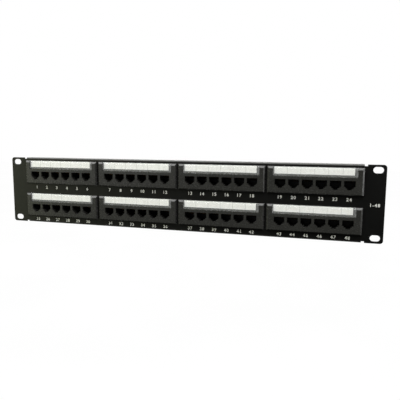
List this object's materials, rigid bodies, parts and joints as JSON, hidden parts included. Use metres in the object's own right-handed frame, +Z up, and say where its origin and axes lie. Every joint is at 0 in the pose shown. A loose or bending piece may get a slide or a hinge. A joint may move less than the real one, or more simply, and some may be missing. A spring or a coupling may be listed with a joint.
{
  "type": "patch panel",
  "caption": "Rack-mount patch panel: a folded black steel front with snap-in modules of modular sockets, label strips under clear windows and punch-down strips at the back.",
  "frame": {"origin": "centre of the steel sheet's back face, the plane that seats on the rack rails", "axes": "+X along the panel to the right seen from the front, +Y into the rack, +Z up; the front faces -Y"},
  "size_m": [0.4826, 0.0305, 0.0882],
  "materials": {
    "powder_coat": "fine satin black powder coat on steel, with white printed port numbers",
    "black_plastic": "satin black moulded plastic with a very fine texture",
    "insert_plastic": "satin black moulded plastic inside the sockets",
    "label_paper": "uncoated white paper strip with faint grey divisions",
    "clear_plastic": "clear glossy plastic",
    "circuit_board": "green solder mask over glass-fibre board with tinned joints",
    "punch_down_plastic": "ivory moulded plastic",
    "contact_metal": "gold-plated spring wire",
    "white_ink": "screen-printed white ink"
  },
  "bodies": {
    "panel": {"front_panel": "powder_coat", "jack_housing_1": "black_plastic", "contact_insert_1": "insert_plastic", "circuit_board_1": "circuit_board", "upper_punch_down_strip_1": "punch_down_plastic", "lower_punch_down_strip_1": "punch_down_plastic", "label_strip_1": "label_paper", "jack_housing_2": "black_plastic", "contact_insert_2": "insert_plastic", "circuit_board_2": "circuit_board", "upper_punch_down_strip_2": "punch_down_plastic", "lower_punch_down_strip_2": "punch_down_plastic", "label_strip_2": "label_paper", "jack_housing_3": "black_plastic", "contact_insert_3": "insert_plastic", "circuit_board_3": "circuit_board", "upper_punch_down_strip_3": "punch_down_plastic", "lower_punch_down_strip_3": "punch_down_plastic", "label_strip_3": "label_paper", "jack_housing_4": "black_plastic", "contact_insert_4": "insert_plastic", "circuit_board_4": "circuit_board", "upper_punch_down_strip_4": "punch_down_plastic", "lower_punch_down_strip_4": "punch_down_plastic", "label_strip_4": "label_paper", "jack_housing_5": "black_plastic", "contact_insert_5": "insert_plastic", "circuit_board_5": "circuit_board", "upper_punch_down_strip_5": "punch_down_plastic", "lower_punch_down_strip_5": "punch_down_plastic", "label_strip_5": "label_paper", "jack_housing_6": "black_plastic", "contact_insert_6": "insert_plastic", "circuit_board_6": "circuit_board", "upper_punch_down_strip_6": "punch_down_plastic", "lower_punch_down_strip_6": "punch_down_plastic", "label_strip_6": "label_paper", "jack_housing_7": "black_plastic", "contact_insert_7": "insert_plastic", "circuit_board_7": "circuit_board", "upper_punch_down_strip_7": "punch_down_plastic", "lower_punch_down_strip_7": "punch_down_plastic", "label_strip_7": "label_paper", "jack_housing_8": "black_plastic", "contact_insert_8": "insert_plastic", "circuit_board_8": "circuit_board", "upper_punch_down_strip_8": "punch_down_plastic", "lower_punch_down_strip_8": "punch_down_plastic", "label_strip_8": "label_paper"},
    "label_window_1": {"label_window_1": "clear_plastic"},
    "label_window_2": {"label_window_2": "clear_plastic"},
    "label_window_3": {"label_window_3": "clear_plastic"},
    "label_window_4": {"label_window_4": "clear_plastic"},
    "label_window_5": {"label_window_5": "clear_plastic"},
    "label_window_6": {"label_window_6": "clear_plastic"},
    "label_window_7": {"label_window_7": "clear_plastic"},
    "label_window_8": {"label_window_8": "clear_plastic"}
  },
  "joints": [
    {"name": "label_window_1_lift_off", "type": "slide", "parent": "panel", "child": "label_window_1", "axis": [0, -1, 0], "range_m": [0, 0.015]},
    {"name": "label_window_2_lift_off", "type": "slide", "parent": "panel", "child": "label_window_2", "axis": [0, -1, 0], "range_m": [0, 0.015]},
    {"name": "label_window_3_lift_off", "type": "slide", "parent": "panel", "child": "label_window_3", "axis": [0, -1, 0], "range_m": [0, 0.015]},
    {"name": "label_window_4_lift_off", "type": "slide", "parent": "panel", "child": "label_window_4", "axis": [0, -1, 0], "range_m": [0, 0.015]},
    {"name": "label_window_5_lift_off", "type": "slide", "parent": "panel", "child": "label_window_5", "axis": [0, -1, 0], "range_m": [0, 0.015]},
    {"name": "label_window_6_lift_off", "type": "slide", "parent": "panel", "child": "label_window_6", "axis": [0, -1, 0], "range_m": [0, 0.015]},
    {"name": "label_window_7_lift_off", "type": "slide", "parent": "panel", "child": "label_window_7", "axis": [0, -1, 0], "range_m": [0, 0.015]},
    {"name": "label_window_8_lift_off", "type": "slide", "parent": "panel", "child": "label_window_8", "axis": [0, -1, 0], "range_m": [0, 0.015]}
  ]
}
